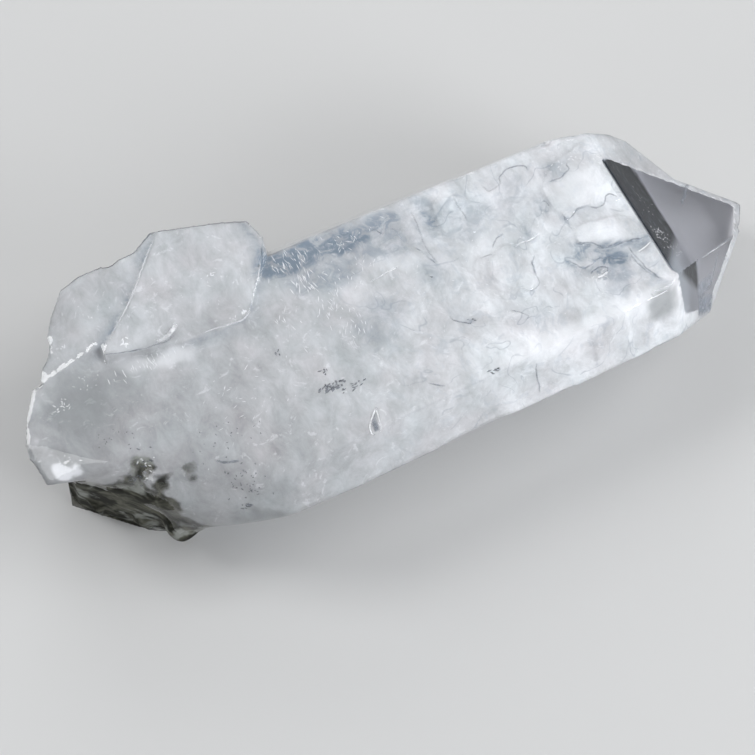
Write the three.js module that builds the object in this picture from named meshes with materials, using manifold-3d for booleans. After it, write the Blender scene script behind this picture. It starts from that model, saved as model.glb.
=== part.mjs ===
// A quartz cluster: one large crystal lying on a prism face, a smaller crystal grown into its
// back, and a broken root with lumps, all grown together as one solid.
// Millimetres, +Z up. The large crystal's c axis runs along +X, towards its point, and the whole
// is modelled around a point on the ground below that axis, then centred.
import * as THREE from "three";
import { ConvexGeometry } from "three/addons/geometries/ConvexGeometry.js";
import { mergeVertices } from "three/addons/utils/BufferGeometryUtils.js";
import Module from "manifold-3d";

const wasm = await Module();
wasm.setup();

// ---------- driving dimensions ----------

const THICKNESS = 28; // from the prism face it rests on up to the wide one on top
const AXIS = [0, 4, THICKNESS / 2]; // a point on the large crystal's c axis
const ROOT_X = -51; // where the large crystal is broken off
const PRISM = [14, 22.1, 15.9, 14, 18.4, 21.5]; // its prism faces' distances from the axis, top face first
const LEAN = [0, 0.8, 0.3, 0, 1, 1.1]; // degrees that each of them leans in towards the point
const CAP = [40.1, 44.8, 46.1, 48.8, 46.8, 42]; // its pyramid faces' distances from AXIS
const CAP_TILT = 38.21; // degrees from a prism face to the pyramid face above it, as in all quartz
const STEP = 0.35; // height of one growth step
const PLATE = 0.3; // height of a growth plate on the top face
const SINK = 0.8; // how far a piece that is grown on reaches into what carries it
const REACH = 200; // beyond everything here

// ---------- solids ----------

const xAxis = new THREE.Vector3(1, 0, 0);
const zAxis = new THREE.Vector3(0, 0, 1);
const vec = (p) => new THREE.Vector3(...p);
const { degToRad } = THREE.MathUtils;

/** A closed geometry as a manifold-3d solid. */
function solidOf(geometry) {
  const bare = new THREE.BufferGeometry();
  bare.setAttribute("position", geometry.getAttribute("position"));
  bare.setIndex(geometry.index);
  const merged = mergeVertices(bare, 1e-4);
  return new wasm.Manifold(
    new wasm.Mesh({
      numProp: 3,
      vertProperties: merged.attributes.position.array,
      triVerts: new Uint32Array(merged.index.array),
    }),
  );
}

/** A manifold-3d solid as a three.js geometry. */
function geometryOf(solid) {
  const mesh = solid.getMesh();
  const geometry = new THREE.BufferGeometry();
  const corners = new Float32Array(mesh.vertProperties);
  geometry.setAttribute("position", new THREE.BufferAttribute(corners, 3));
  geometry.setIndex(new THREE.BufferAttribute(mesh.triVerts, 1));
  return geometry;
}

const joined = (solids) => solids.reduce((all, next) => all.add(next));

/** A face through a point, looking out in a direction. */
function face(through, facing) {
  const out = vec(facing).normalize();
  return new THREE.Plane().setFromNormalAndCoplanarPoint(out, vec(through));
}

/** The point where three planes meet, or null where two are parallel. */
function meetingPoint(a, b, c) {
  const bc = b.normal.clone().cross(c.normal);
  const ca = c.normal.clone().cross(a.normal);
  const ab = a.normal.clone().cross(b.normal);
  const volume = a.normal.dot(bc);
  if (Math.abs(volume) < 1e-4) return null;
  return bc
    .multiplyScalar(-a.constant)
    .addScaledVector(ca, -b.constant)
    .addScaledVector(ab, -c.constant)
    .divideScalar(volume);
}

/** The convex solid behind all of these faces. */
function within(faces) {
  const corners = [];
  const add = (corner) => {
    if (!corner || faces.some((f) => f.distanceToPoint(corner) > 1e-4)) return;
    if (corners.some((c) => c.distanceTo(corner) < 1e-3)) return;
    corners.push(corner);
  };
  faces.forEach((a, i) =>
    faces.slice(i + 1).forEach((b, j) =>
      faces.slice(i + j + 2).forEach((c) => add(meetingPoint(a, b, c))),
    ),
  );
  return solidOf(new ConvexGeometry(corners));
}

/** Everything that lies in front of a face. */
function beyond(cut) {
  const ends = [-1, 1].flatMap((side) => [
    face([side * REACH, 0, 0], [side, 0, 0]),
    face([0, side * REACH, 0], [0, side, 0]),
    face([0, 0, side * REACH], [0, 0, side]),
  ]);
  return within([cut.clone().negate(), ...ends]);
}

/** A repeatable source of random numbers from 0 to 1. */
function randomFrom(seed) {
  let state = seed;
  return () => {
    state = (state + 0x6d2b79f5) | 0;
    let t = Math.imul(state ^ (state >>> 15), 1 | state);
    t = (t + Math.imul(t ^ (t >>> 7), 61 | t)) ^ t;
    return ((t ^ (t >>> 14)) >>> 0) / 2 ** 32;
  };
}

/** An angular lump: the hull of points scattered on an ellipsoid. */
function lump({ at, radii, turn = 0, corners = 16, seed }) {
  const random = randomFrom(seed);
  const points = Array.from({ length: corners }, () => {
    const up = 2 * random() - 1;
    const around = 2 * Math.PI * random();
    const out = Math.sqrt(1 - up * up);
    return new THREE.Vector3(out * Math.cos(around), out * Math.sin(around), up)
      .multiply(vec(radii))
      .applyAxisAngle(zAxis, degToRad(turn))
      .add(vec(at));
  });
  return solidOf(new ConvexGeometry(points));
}

/** A smooth ellipsoid, for the shell-shaped hollow of a break. */
function scoop({ at, radii, turn = 0, tip = 0 }) {
  const ball = new THREE.IcosahedronGeometry(1, 3);
  ball.scale(...radii);
  ball.rotateX(degToRad(tip));
  ball.rotateZ(degToRad(turn));
  ball.translate(...at);
  return solidOf(ball);
}

/**
 * A block with flat sides. Its corners [x, y, lean] go round anticlockwise at one height, and
 * each side runs on to the next corner, leaning back by that many degrees.
 */
function block({ corners, height, more }) {
  const sides = corners.map(([x, y, lean], i) => {
    const [nextX, nextY] = corners[(i + 1) % corners.length];
    const across = Math.hypot(nextX - x, nextY - y);
    const flat = Math.cos(degToRad(lean)) / across;
    return face(
      [x, y, height],
      [(nextY - y) * flat, (x - nextX) * flat, Math.sin(degToRad(lean))],
    );
  });
  return within([...sides, ...more]);
}

// ---------- the large crystal ----------

/** The way that prism face k looks, leaning in towards the point. */
function prismNormal(k, lean = 0) {
  return new THREE.Vector3(0, 0, 1)
    .applyAxisAngle(xAxis, degToRad(60 * k))
    .addScaledVector(xAxis, Math.tan(degToRad(lean)))
    .normalize();
}

/** The way that pyramid face k looks. */
function capNormal(k) {
  return prismNormal(k)
    .multiplyScalar(Math.cos(degToRad(CAP_TILT)))
    .addScaledVector(xAxis, Math.sin(degToRad(CAP_TILT)));
}

/** The faces of a crystal on the c axis: six of the prism, six of the pyramid, and its root end. */
function crystalFaces({ prism = PRISM, cap = CAP, root = ROOT_X }) {
  const at = (normal, distance) => {
    const through = vec(AXIS).addScaledVector(normal, distance);
    return new THREE.Plane().setFromNormalAndCoplanarPoint(normal, through);
  };
  return [
    ...prism.map((distance, k) => at(prismNormal(k, LEAN[k]), distance)),
    ...cap.map((distance, k) => at(capNormal(k), distance)),
    face([root, 0, 0], [-1, 0, 0]),
  ];
}

/** One growth step: the same crystal with one prism face higher, between two places along it. */
function growthStep({ side, rise, from, to }) {
  const prism = PRISM.map((distance, k) => (k === side ? distance + rise * STEP : distance));
  const end = face([to, 0, 0], [1, 0, 0]);
  return within([...crystalFaces({ prism, root: from }), end]);
}

const GROWTH_STEPS = [
  { side: 1, rise: 0.8, from: 30.5, to: 37 },
  { side: 2, rise: 0.7, from: 26, to: 40 },
  { side: 4, rise: 1, from: ROOT_X, to: 37 },
  { side: 4, rise: 2, from: ROOT_X, to: 21 },
  { side: 4, rise: 3, from: -30, to: 8 },
  { side: 5, rise: 0.5, from: -4, to: 24 },
];

/** The back of the point, where a pyramid face grew further out than its neighbours. */
function backShoulder() {
  const cap = CAP.map((distance, k) => (k === 5 ? distance + 3.8 : distance));
  const faces = crystalFaces({ cap, root: 20 });
  const end = face([56.9, 13, 21], [0.86, 0.44, 0.25]);
  const inner = face([40, 4, 20], [0, -1, 0]);
  return within([...faces, end, inner]);
}

/** A thin plate with a wavy edge, grown on the top face. */
function growthPlate(outline) {
  const shape = new THREE.Shape();
  const points = outline.map(([x, y]) => new THREE.Vector2(x, y));
  shape.moveTo(points[0].x, points[0].y);
  shape.splineThru([...points.slice(1), points[0]]);
  const plate = new THREE.ExtrudeGeometry(shape, {
    depth: SINK + PLATE,
    bevelEnabled: false,
    curveSegments: 3,
  });
  plate.translate(0, 0, THICKNESS - SINK);
  plate.deleteAttribute("normal");
  plate.deleteAttribute("uv");
  return solidOf(mergeVertices(plate, 1e-4));
}

const GROWTH_PLATES = [
  [
    [46, 5.1], [44.8, 4.9], [42.6, 5.4], [40.8, 6],
    [38.6, 6.3], [37.1, 5.6], [36.2, 5.5], [35.4, 8.2],
    [35.2, 10.3], [35.7, 12.7], [37.7, 14.7], [40.2, 15.9],
    [42.8, 16.6], [45.6, 16.4],
  ],
  [
    [36, 0.9], [37.9, -0.9], [39.9, -1.9], [43.6, -2.3],
    [45, -3.4], [45.9, -0.8], [45.5, 1.7], [44, 2.8],
    [41.3, 3.3], [38.8, 3.8], [36.6, 3.3],
  ],
  [
    [28.5, 2.4], [27.1, -1.9], [25.5, -3.1], [23.7, -2.6],
    [22, -0.7], [21, 1.7], [21.6, 4.2], [23.8, 5.6],
    [26.3, 5.7],
  ],
  [
    [18.1, 17.6], [21.1, 18], [23.5, 16.8], [24.8, 14.4],
    [24.5, 11.7], [22.2, 10], [19.3, 10.7], [17.5, 12.8],
  ],
];

function largeCrystal() {
  return joined([
    within(crystalFaces({})),
    ...GROWTH_STEPS.map(growthStep),
    backShoulder(),
    ...GROWTH_PLATES.map(growthPlate),
  ]);
}

// ---------- the crystal at the back ----------

const SIDE_TOP = face([-22, 12.6, 28.5], [0.07, -0.21, 1]); // its broad upper face
const SIDE_FLANK = face([-32.4, 21.8, 31.1], [-0.215, 0.1, 0.971]); // the face that falls away from it
const SIDE_UNDER = face([-20, 31, 12], [0.1, 0.66, -0.75]);
const SIDE_BOTTOM = face([0, 0, 6], [0, 0, -1]);

/** The crystal's body, with its blunt end towards the large crystal's point. */
function sideCrystal() {
  return block({
    height: 30,
    corners: [
      [-39.4, 15.2, 14],
      [-35, 14.1, 8],
      [-21.2, 11.5, 0],
      [-16.3, 12.7, 4],
      [-9.3, 20.8, 4],
      [-8.6, 23.3, 12],
      [-9.7, 26.9, 14],
      [-15.4, 29, 14],
      [-22.3, 30.8, 16],
      [-25.2, 31.6, 16],
      [-28, 30.6, 8],
      [-29.8, 28.4, 0],
      [-38, 24.4, 0],
    ],
    more: [SIDE_TOP, SIDE_FLANK, SIDE_UNDER, SIDE_BOTTOM],
  });
}

/** Its broken, lower half. */
function sideLedge() {
  return block({
    height: 28,
    corners: [
      [-49.5, 16.2, 38],
      [-40.4, 15.9, 38],
      [-28, 16, 0],
      [-24, 28, 0],
      [-27.8, 29.4, 6],
      [-37.6, 30.4, 10],
      [-40.8, 29.7, 8],
      [-44.2, 25.8, 0],
      [-49.5, 17, 0],
    ],
    more: [SIDE_TOP, SIDE_FLANK, SIDE_UNDER, face([0, 0, 14], [0, 0, -1])],
  });
}

// ---------- the root ----------

const ROOT_TOP = face([-42.5, 5, 28], [-0.13, -0.03, 1]);

/** The slab that hangs over at the root end. */
function rootBlock() {
  return block({
    height: 24,
    corners: [
      [-55.7, 1.9, -26],
      [-52.4, 0.8, -26],
      [-45.6, -1.2, -24],
      [-42.9, -1.6, 0],
      [-38, 0, 0],
      [-30, 6, 0],
      [-32, 16.4, 0],
      [-49, 16.6, 4],
      [-51.6, 16.4, 8],
      [-54.6, 11.9, 10],
      [-55.6, 9.6, 8],
      [-56.3, 5.7, -10],
      [-56.2, 3, -22],
    ],
    more: [
      face([0, 0, THICKNESS], [0, 0, 1]),
      ROOT_TOP,
      face([-52.9, 4.4, 25], [-0.5, -0.55, 0.67]),
      face([-50, 5, 12.5], [-0.4, -0.3, -0.87]),
    ],
  });
}

/** The stained lower layer, broken further back. */
function rootFoot() {
  return block({
    height: 0,
    corners: [
      [-52.2, 7.4, 4],
      [-48.9, 4, 8],
      [-45.1, 0.3, 10],
      [-42.6, -2.2, 12],
      [-36, -6, 16],
      [-20, 4, 0],
      [-30, 20, -6],
      [-45, 20, -6],
      [-51.4, 11, 4],
    ],
    more: [face([-45, 5, 18], [-0.2, -0.2, 1]), face([0, 0, 0], [0, 0, -1])],
  });
}

const LUMPS = [
  { at: [-37.2, -6.7, 9.6], radii: [4.6, 3.6, 6.2], turn: 20, seed: 11 },
  { at: [-42.9, -1.6, 5], radii: [2, 1.8, 5], turn: -30, seed: 12 },
  { at: [-47.8, 4.4, 6], radii: [3, 2.4, 6], turn: 15, seed: 13 },
  { at: [-41.2, -4.6, 23.2], radii: [2.1, 1.9, 2.4], turn: 10, seed: 14 },
  { at: [-34.4, -6.6, 23.4], radii: [2, 1.5, 1.4], turn: 40, seed: 15 },
  { at: [-34.4, -9.6, 14], radii: [3.4, 2.4, 4], turn: 35, seed: 16 },
  { at: [-46, 19, 10], radii: [4.4, 3.8, 5], turn: 70, seed: 19 },
  { at: [-38, 24, 9], radii: [5, 4, 5], turn: 10, seed: 20 },
  { at: [-50.4, 12, 9], radii: [3, 5, 5.6], turn: 5, seed: 21 },
  { at: [-28, 26.5, 13], radii: [5, 3, 4], turn: -15, seed: 22 },
];

/** The breaks that took away the large crystal's corners at the root. */
const ROOT_BREAKS = [
  ROOT_TOP,
  face([-39.2, -1.5, 28], [-0.486, -0.696, 0.529]),
  face([-32.5, -3, 28], [-0.26, -0.37, 0.89]),
  face([-33.7, -13.7, 17], [-0.22, -0.8, -0.42]),
  face([-39, -5.6, 3], [-0.68, -0.71, -0.12]),
  face([-44, 16.2, 28], [-0.35, 0.93, 0.1]),
];

/** Angular bites out of the broken root, which leave flat facets and ridges. */
const BITES = [
  { at: [-31, -16.6, 28], radii: [7, 3.4, 5], turn: -30, seed: 31 },
  { at: [-38.6, -9.6, 27], radii: [6, 3.6, 5], turn: -40, seed: 32 },
  { at: [-24, -19.8, 24], radii: [6, 3.4, 5], turn: -20, seed: 33 },
  { at: [-41.6, -2.4, 27.4], radii: [2.6, 1.5, 4], turn: 25, seed: 34 },
  { at: [-43, -4.6, 23], radii: [1.4, 2, 4], turn: 0, seed: 35 },
  { at: [-39.2, -5.2, 26.4], radii: [0.8, 1.6, 3], turn: 10, seed: 36 },
  { at: [-57.5, 16, 18], radii: [5, 6, 7], turn: 30, seed: 37 },
  { at: [-40, 38, 13], radii: [8, 5.4, 6], turn: 10, seed: 38 },
  { at: [-53, 22, 12], radii: [5, 6, 8], turn: 20, seed: 39 },
  { at: [-47, -3.6, 17], radii: [5, 2.6, 3], turn: -22, seed: 41 },
];

/** Shell-shaped hollows in the fresh breaks. */
const HOLLOWS = [
  { at: [-29.6, 11.8, 31.2], radii: [3, 2, 1.8], turn: -20 },
  { at: [-58.4, 7, 20], radii: [3.6, 8, 6], turn: 4 },
  { at: [-51.1, 23.2, 26], radii: [5.4, 5.4, 9] },
  { at: [-31.9, 33.2, 27], radii: [3.4, 4.6, 8] },
  { at: [-49, 31, 11], radii: [7, 8, 7], turn: 40 },
  { at: [-16, 36, 14], radii: [14, 7, 6], turn: -14 },
];

// ---------- wear ----------

/** The dent along the lower front edge where another crystal once touched it. */
const CONTACT_DENT = { at: [9, -26.6, 15.6], radii: [24, 10.2, 16], tip: 8 };

/** Small chips along an edge, at places, depths and sizes that vary. */
function chipsAlong({ from, to, count, size, seed }) {
  const random = randomFrom(seed);
  return Array.from({ length: count }, (_, i) => {
    const along = (i + 0.2 + 0.6 * random()) / count;
    const at = vec(from).lerp(vec(to), along).toArray();
    const radius = size * (0.5 + 0.8 * random() ** 2);
    const radii = [radius * (1 + random()), radius, radius * 0.8];
    return lump({ at, radii, turn: 90 * random(), corners: 10, seed: seed + i });
  });
}

function chips() {
  return [
    ...chipsAlong({ from: [38, 20.7, 28], to: [47.6, 18.4, 28], count: 8, size: 0.9, seed: 40 }),
    ...chipsAlong({ from: [-5, 21.1, 28], to: [36, 20.3, 28], count: 7, size: 0.35, seed: 60 }),
    ...chipsAlong({ from: [-18, -14.1, 28], to: [-2, -14.5, 28], count: 7, size: 0.8, seed: 80 }),
    ...chipsAlong({ from: [2, -14.4, 28], to: [46, -13.2, 28], count: 7, size: 0.4, seed: 100 }),
    ...chipsAlong({ from: [-14, -18.2, 19.8], to: [46, -18.2, 20], count: 9, size: 0.55, seed: 120 }),
    ...chipsAlong({ from: [66.5, -3.6, 12], to: [70.8, 4.5, 12.8], count: 5, size: 0.9, seed: 140 }),
    ...chipsAlong({ from: [-56, 2, 25], to: [-43, -2.2, 25.5], count: 7, size: 0.6, seed: 160 }),
    ...chipsAlong({ from: [-48.6, 18.4, 28], to: [-44, 29, 26.5], count: 5, size: 0.8, seed: 180 }),
  ];
}

// ---------- the whole ----------

function cluster() {
  const backChamfer = face([44, 19.3, 28], [0.24, 0.93, 0.28]);
  const tipChamfer = face([70.6, 4.3, 8.5], [0.8, 0.6, 0.1]);
  const cuts = [...ROOT_BREAKS, backChamfer, tipChamfer].map(beyond);
  const crystal = largeCrystal().subtract(joined(cuts));
  const lumps = LUMPS.map(lump);
  const grown = joined([crystal, sideCrystal(), sideLedge(), rootBlock(), rootFoot(), ...lumps]);
  const hollows = [...BITES.map(lump), ...HOLLOWS.map(scoop), scoop(CONTACT_DENT)];
  const ground = beyond(face([0, 0, 0], [0, 0, -1]));
  return [...hollows, ...chips(), ground].reduce((left, cut) => left.subtract(cut), grown);
}

const quartz = new THREE.MeshStandardMaterial({ color: 0xdfe3e8, roughness: 0.15, metalness: 0 });

const geometry = geometryOf(cluster());
geometry.computeBoundingBox();
const middle = geometry.boundingBox.getCenter(new THREE.Vector3());
geometry.translate(-middle.x, -middle.y, -geometry.boundingBox.min.z);

const crystals = new THREE.Mesh(geometry, quartz);
crystals.name = "quartz_cluster";

const group = new THREE.Group();
group.add(crystals);

export default group;
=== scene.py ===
"""The quartz cluster's looks: a clear skin over a milky inside, with its veils, flaws and stains.

Lengths are millimetres in the frame that part.mjs models in: the large crystal's c axis runs
along +X to its point, its wide top face is at z = 28, and the ground is at z = 0. to_row() turns
them into the row's frame, in metres.
"""

import bmesh
import bpy
import math
import numpy as np
from itertools import product
from mathutils import Matrix, Vector
from mathutils.bvhtree import BVHTree


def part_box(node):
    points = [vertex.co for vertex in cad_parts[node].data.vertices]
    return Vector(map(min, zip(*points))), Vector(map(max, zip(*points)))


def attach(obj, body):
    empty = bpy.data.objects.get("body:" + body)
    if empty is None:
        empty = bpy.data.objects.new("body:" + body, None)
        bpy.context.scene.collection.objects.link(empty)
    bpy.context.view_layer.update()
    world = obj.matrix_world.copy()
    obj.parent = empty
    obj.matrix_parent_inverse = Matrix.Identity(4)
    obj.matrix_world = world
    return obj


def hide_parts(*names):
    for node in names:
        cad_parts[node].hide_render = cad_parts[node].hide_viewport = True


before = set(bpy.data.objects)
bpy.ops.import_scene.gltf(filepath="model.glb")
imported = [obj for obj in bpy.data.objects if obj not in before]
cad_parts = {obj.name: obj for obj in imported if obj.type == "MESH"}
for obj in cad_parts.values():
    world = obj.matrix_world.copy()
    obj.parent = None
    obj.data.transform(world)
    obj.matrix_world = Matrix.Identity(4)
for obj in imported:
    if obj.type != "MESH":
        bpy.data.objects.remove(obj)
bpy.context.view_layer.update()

NODE = "quartz_cluster"
BODY = "root"
MM = 0.001
FAR_CORNER = (71.02, 33.12)  # the box's largest x and y before the cluster was centred
TOP = 28.0

low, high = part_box(NODE)
SHIFT = np.array([high.x / MM - FAR_CORNER[0], high.y / MM - FAR_CORNER[1], 0.0])


# ---------- the faces that marks lie on ----------

AXIS = np.array([0.0, 4.0, 14.0])  # a point on the large crystal's c axis
PRISM = (14, 22.1, 15.9, 14, 18.4, 21.5)  # its prism faces' distances from AXIS, top face first
CAP = (40.1, 44.8, 46.1, 48.8, 46.8, 42)  # its pyramid faces' distances
CAP_TILT = math.radians(38.21)


def prism_normal(k):
    turn = math.radians(60 * k)
    return np.array([0, -math.sin(turn), math.cos(turn)])


def cap_normal(k):
    return prism_normal(k) * math.cos(CAP_TILT) + np.array([math.sin(CAP_TILT), 0, 0])


def through(point, normal):
    """A plane as its unit normal and its distance from the origin."""
    normal = np.array(normal, float)
    normal /= np.linalg.norm(normal)
    return normal, normal @ np.array(point, float)


def crystal_plane(normal, distance):
    return through(AXIS + normal * distance, normal)


PLANES = {
    "top": through((0, 0, TOP), (0, 0, 1)),
    "front": crystal_plane(prism_normal(1), PRISM[1]),
    "cap": crystal_plane(cap_normal(0), CAP[0]),
    "cap_front": crystal_plane(cap_normal(1), CAP[1]),
    "side": through((-22, 12.6, 28.5), (0.07, -0.21, 1)),
    "flank": through((-32.4, 21.8, 31.1), (-0.215, 0.1, 0.971)),
    "root": through((-42.5, 5, 28), (-0.13, -0.03, 1)),
    "break": through((-32.5, -3, 28), (-0.26, -0.37, 0.89)),
    "break_low": through((-39.2, -1.5, 28), (-0.486, -0.696, 0.529)),
}


def lifted(name, pairs):
    """Points (x, y) brought up to a plane."""
    normal, distance = PLANES[name]
    pairs = np.asarray(pairs, float)
    z = (distance - pairs @ normal[:2]) / normal[2]
    return np.column_stack([pairs, z])


# ---------- helpers ----------


def to_row(points):
    return (np.asarray(points, float) + SHIFT) * MM


def to_model(points):
    return np.asarray(points, float) / MM - SHIFT


def smooth(low_edge, high_edge, value):
    t = np.clip((value - low_edge) / (high_edge - low_edge), 0, 1)
    return t * t * (3 - 2 * t)


def noise(points, size, seed):
    """Smooth noise from -1 to 1 with features of about this size."""
    period = 32
    offset = 100.5  # keeps the grid's planes off the crystal's own
    table = np.random.default_rng(seed).uniform(-1, 1, (period,) * 3)
    place = points / size + offset
    cell = np.floor(place).astype(int)
    part = place - cell
    part = part * part * (3 - 2 * part)
    total = np.zeros(len(points))
    for corner in product((0, 1), repeat=3):
        weight = np.prod(np.where(corner, part, 1 - part), axis=1)
        i, j, k = ((cell + corner) % period).T
        total += weight * table[i, j, k]
    return total


def cloud(points, size, seed, octaves=3):
    """Noise from -1 to 1 with finer noise laid over it."""
    layers = [noise(points, size / 2**n, seed + n) / 2**n for n in range(octaves)]
    return sum(layers) / (2 - 0.5 ** (octaves - 1))


def warping(points, size, amount, seed):
    """Shifts in x, y and z, by up to about this many millimetres."""
    return np.stack([cloud(points, size, seed + 10 * n) for n in range(3)], 1) * amount


def vertices_of(mesh):
    flat = np.empty(len(mesh.vertices) * 3, np.float32)
    mesh.vertices.foreach_get("co", flat)
    return flat.reshape(-1, 3).astype(float)


def normals_of(mesh):
    flat = np.empty(len(mesh.vertices) * 3, np.float32)
    mesh.vertex_normals.foreach_get("vector", flat)
    return flat.reshape(-1, 3).astype(float)


def set_vertices(mesh, points):
    mesh.vertices.foreach_set("co", np.asarray(points, np.float32).ravel())
    mesh.update()


def store(mesh, name, values):
    """Keeps one number for each vertex, for a material to read."""
    layer = mesh.attributes.new(name, "FLOAT", "POINT")
    layer.data.foreach_set("value", np.asarray(values, np.float32))


def shade_smooth(mesh):
    for polygon in mesh.polygons:
        polygon.use_smooth = True


def new_object(name, mesh):
    obj = bpy.data.objects.new(name, mesh)
    bpy.context.scene.collection.objects.link(obj)
    return obj


def modified(obj):
    """The object's mesh with its modifiers applied."""
    graph = bpy.context.evaluated_depsgraph_get()
    mesh = bpy.data.meshes.new_from_object(obj.evaluated_get(graph))
    old = obj.data
    obj.modifiers.clear()
    obj.data = mesh
    bpy.data.meshes.remove(old)
    return mesh


def cad_copy(name):
    """A copy of the CAD solid, with its shared corners joined."""
    mesh = bpy.data.meshes.new(name)
    bm = bmesh.new()
    bm.from_mesh(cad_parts[NODE].data)
    bmesh.ops.remove_doubles(bm, verts=bm.verts, dist=1e-6)
    bm.to_mesh(mesh)
    bm.free()
    mesh.materials.clear()
    return new_object(name, mesh)


def solid_behind(name, planes):
    """The space behind all of these planes, which are given as (point, outward direction)."""
    cube = 200 * MM  # larger than the crystal
    bm = bmesh.new()
    bmesh.ops.create_cube(bm, size=cube)
    for point, direction in planes:
        bmesh.ops.bisect_plane(
            bm,
            geom=bm.verts[:] + bm.edges[:] + bm.faces[:],
            plane_co=Vector(to_row(point)),
            plane_no=Vector(direction),
            clear_outer=True,
        )
        bmesh.ops.holes_fill(bm, edges=[e for e in bm.edges if e.is_boundary], sides=0)
    bmesh.ops.recalc_face_normals(bm, faces=bm.faces)
    mesh = bpy.data.meshes.new(name)
    bm.to_mesh(mesh)
    bm.free()
    return new_object(name, mesh)


CELL_DEPTH = 8  # the remesh's octree: with CELL_FILL it makes cells of about 0.55 mm
CELL_FILL = 0.9
SOFTENING = (("", 2), ("worn", 90))  # vertex group and how many times it is smoothed
WORN_CENTRE = (-34, -9, 24)  # the front of the broken root, which is worn soft
WORN_FULLY = 13  # how far from there the wear is full, and where it ends
WORN_END = 24


def wear(points):
    return 1 - smooth(WORN_FULLY, WORN_END, np.linalg.norm(points - WORN_CENTRE, axis=1))


def even_out(obj, rounded):
    """Gives the object even faces with its edges kept, then rounds those, most where rounded says."""
    remesh = obj.modifiers.new("remesh", "REMESH")
    remesh.mode = "SHARP"
    remesh.octree_depth = CELL_DEPTH
    remesh.scale = CELL_FILL
    remesh.sharpness = 1.0
    remesh.use_remove_disconnected = False
    mesh = modified(obj)
    group = obj.vertex_groups.new(name="worn")
    for index, weight in enumerate(rounded(to_model(vertices_of(mesh)))):
        if weight > 0:
            group.add([index], weight, "REPLACE")
    for part, times in SOFTENING:
        soften = obj.modifiers.new("soften", "SMOOTH")
        soften.factor = 0.5
        soften.iterations = times
        soften.vertex_group = part
    return modified(obj)


def keep(obj, material):
    """Gives a piece its material, and ties it to the row."""
    obj.data.materials.clear()
    obj.data.materials.append(material)
    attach(obj, BODY)
    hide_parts(NODE)


# ---------- camera ----------

CAMERA_BACK = Vector((-0.19209, -0.38528, 0.90259))  # from what it looks at towards the camera
CAMERA_RIGHT = Vector((0.89493, -0.4462, 0.0))
CAMERA_AIM = (0, 0, TOP / 2)
CAMERA_AWAY = 338.26
LENS = 100
SENSOR = 36


def make_camera():
    data = bpy.data.cameras.new("camera")
    data.lens = LENS
    data.sensor_width = SENSOR
    data.clip_start = 0.01
    data.clip_end = 10
    camera = bpy.data.objects.new("camera", data)
    bpy.context.scene.collection.objects.link(camera)
    up = CAMERA_BACK.cross(CAMERA_RIGHT)
    turn = Matrix((CAMERA_RIGHT, up, CAMERA_BACK)).transposed().to_4x4()
    place = Vector(to_row(np.array(CAMERA_AIM) + np.array(CAMERA_BACK) * CAMERA_AWAY))
    camera.matrix_world = Matrix.Translation(place) @ turn
    bpy.context.scene.camera = camera


make_camera()


# ---------- node materials ----------


def new_material(name):
    material = bpy.data.materials.new(name)
    material.use_nodes = True
    tree = material.node_tree
    tree.nodes.clear()
    return material, tree


def add(tree, kind, **settings):
    """A node, with its properties or its inputs set by name (an underscore stands for a space)."""
    node = tree.nodes.new(kind)
    for key, value in settings.items():
        if hasattr(node, key):
            setattr(node, key, value)
        else:
            node.inputs[key.replace("_", " ")].default_value = value
    return node


def link(tree, source, target):
    tree.links.new(source, target)


def maths(tree, operation, *values):
    node = tree.nodes.new("ShaderNodeMath")
    node.operation = operation
    for socket, value in zip(node.inputs, values):
        if isinstance(value, (int, float)):
            socket.default_value = value
        else:
            link(tree, value, socket)
    return node.outputs[0]


def scaled(tree, value, times, plus=0.0):
    """times * value + plus."""
    return maths(tree, "MULTIPLY_ADD", value, times, plus)


def mask(tree, name):
    return add(tree, "ShaderNodeAttribute", attribute_name=name).outputs["Fac"]


def blend_colour(tree, share, under, over):
    """The over colour laid on the under colour, by this share from 0 to 1."""
    node = tree.nodes.new("ShaderNodeMix")
    node.data_type = "RGBA"
    for socket, value in zip((node.inputs[0], node.inputs[6], node.inputs[7]), (share, under, over)):
        if isinstance(value, (int, float)):
            socket.default_value = value
        elif isinstance(value, tuple):
            socket.default_value = (*value, 1)
        else:
            link(tree, value, socket)
    return node.outputs[2]


def grain(tree, place, scale, detail=3.0, distortion=0.0, stretch=None, roughness=0.5):
    """Noise around 0.5, with this many features to the metre."""
    if stretch:
        mapping = add(tree, "ShaderNodeMapping")
        mapping.inputs["Scale"].default_value = stretch
        link(tree, place, mapping.inputs["Vector"])
        place = mapping.outputs[0]
    texture = add(tree, "ShaderNodeTexNoise", Scale=scale, Detail=detail, Distortion=distortion)
    texture.inputs["Roughness"].default_value = roughness
    link(tree, place, texture.inputs["Vector"])
    return texture.outputs["Fac"]


def ramp(tree, value, low_edge, high_edge):
    """The value squeezed between two levels into a mask."""
    node = add(tree, "ShaderNodeMapRange", From_Min=low_edge, From_Max=high_edge)
    node.interpolation_type = "SMOOTHSTEP"
    link(tree, value, node.inputs["Value"])
    return node.outputs["Result"]


def wavy_lines(tree, value, count, width):
    """Thin lines where the value passes evenly spaced levels, like the contours on a map."""
    place = maths(tree, "FRACT", maths(tree, "MULTIPLY", value, count))
    away = maths(tree, "ABSOLUTE", maths(tree, "SUBTRACT", place, 0.5))
    return ramp(tree, away, width, 0.0)


def finish_material(tree, shader):
    output = add(tree, "ShaderNodeOutputMaterial")
    link(tree, shader, output.inputs["Surface"])
    return output


# ---------- masks over the crystal ----------

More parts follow.
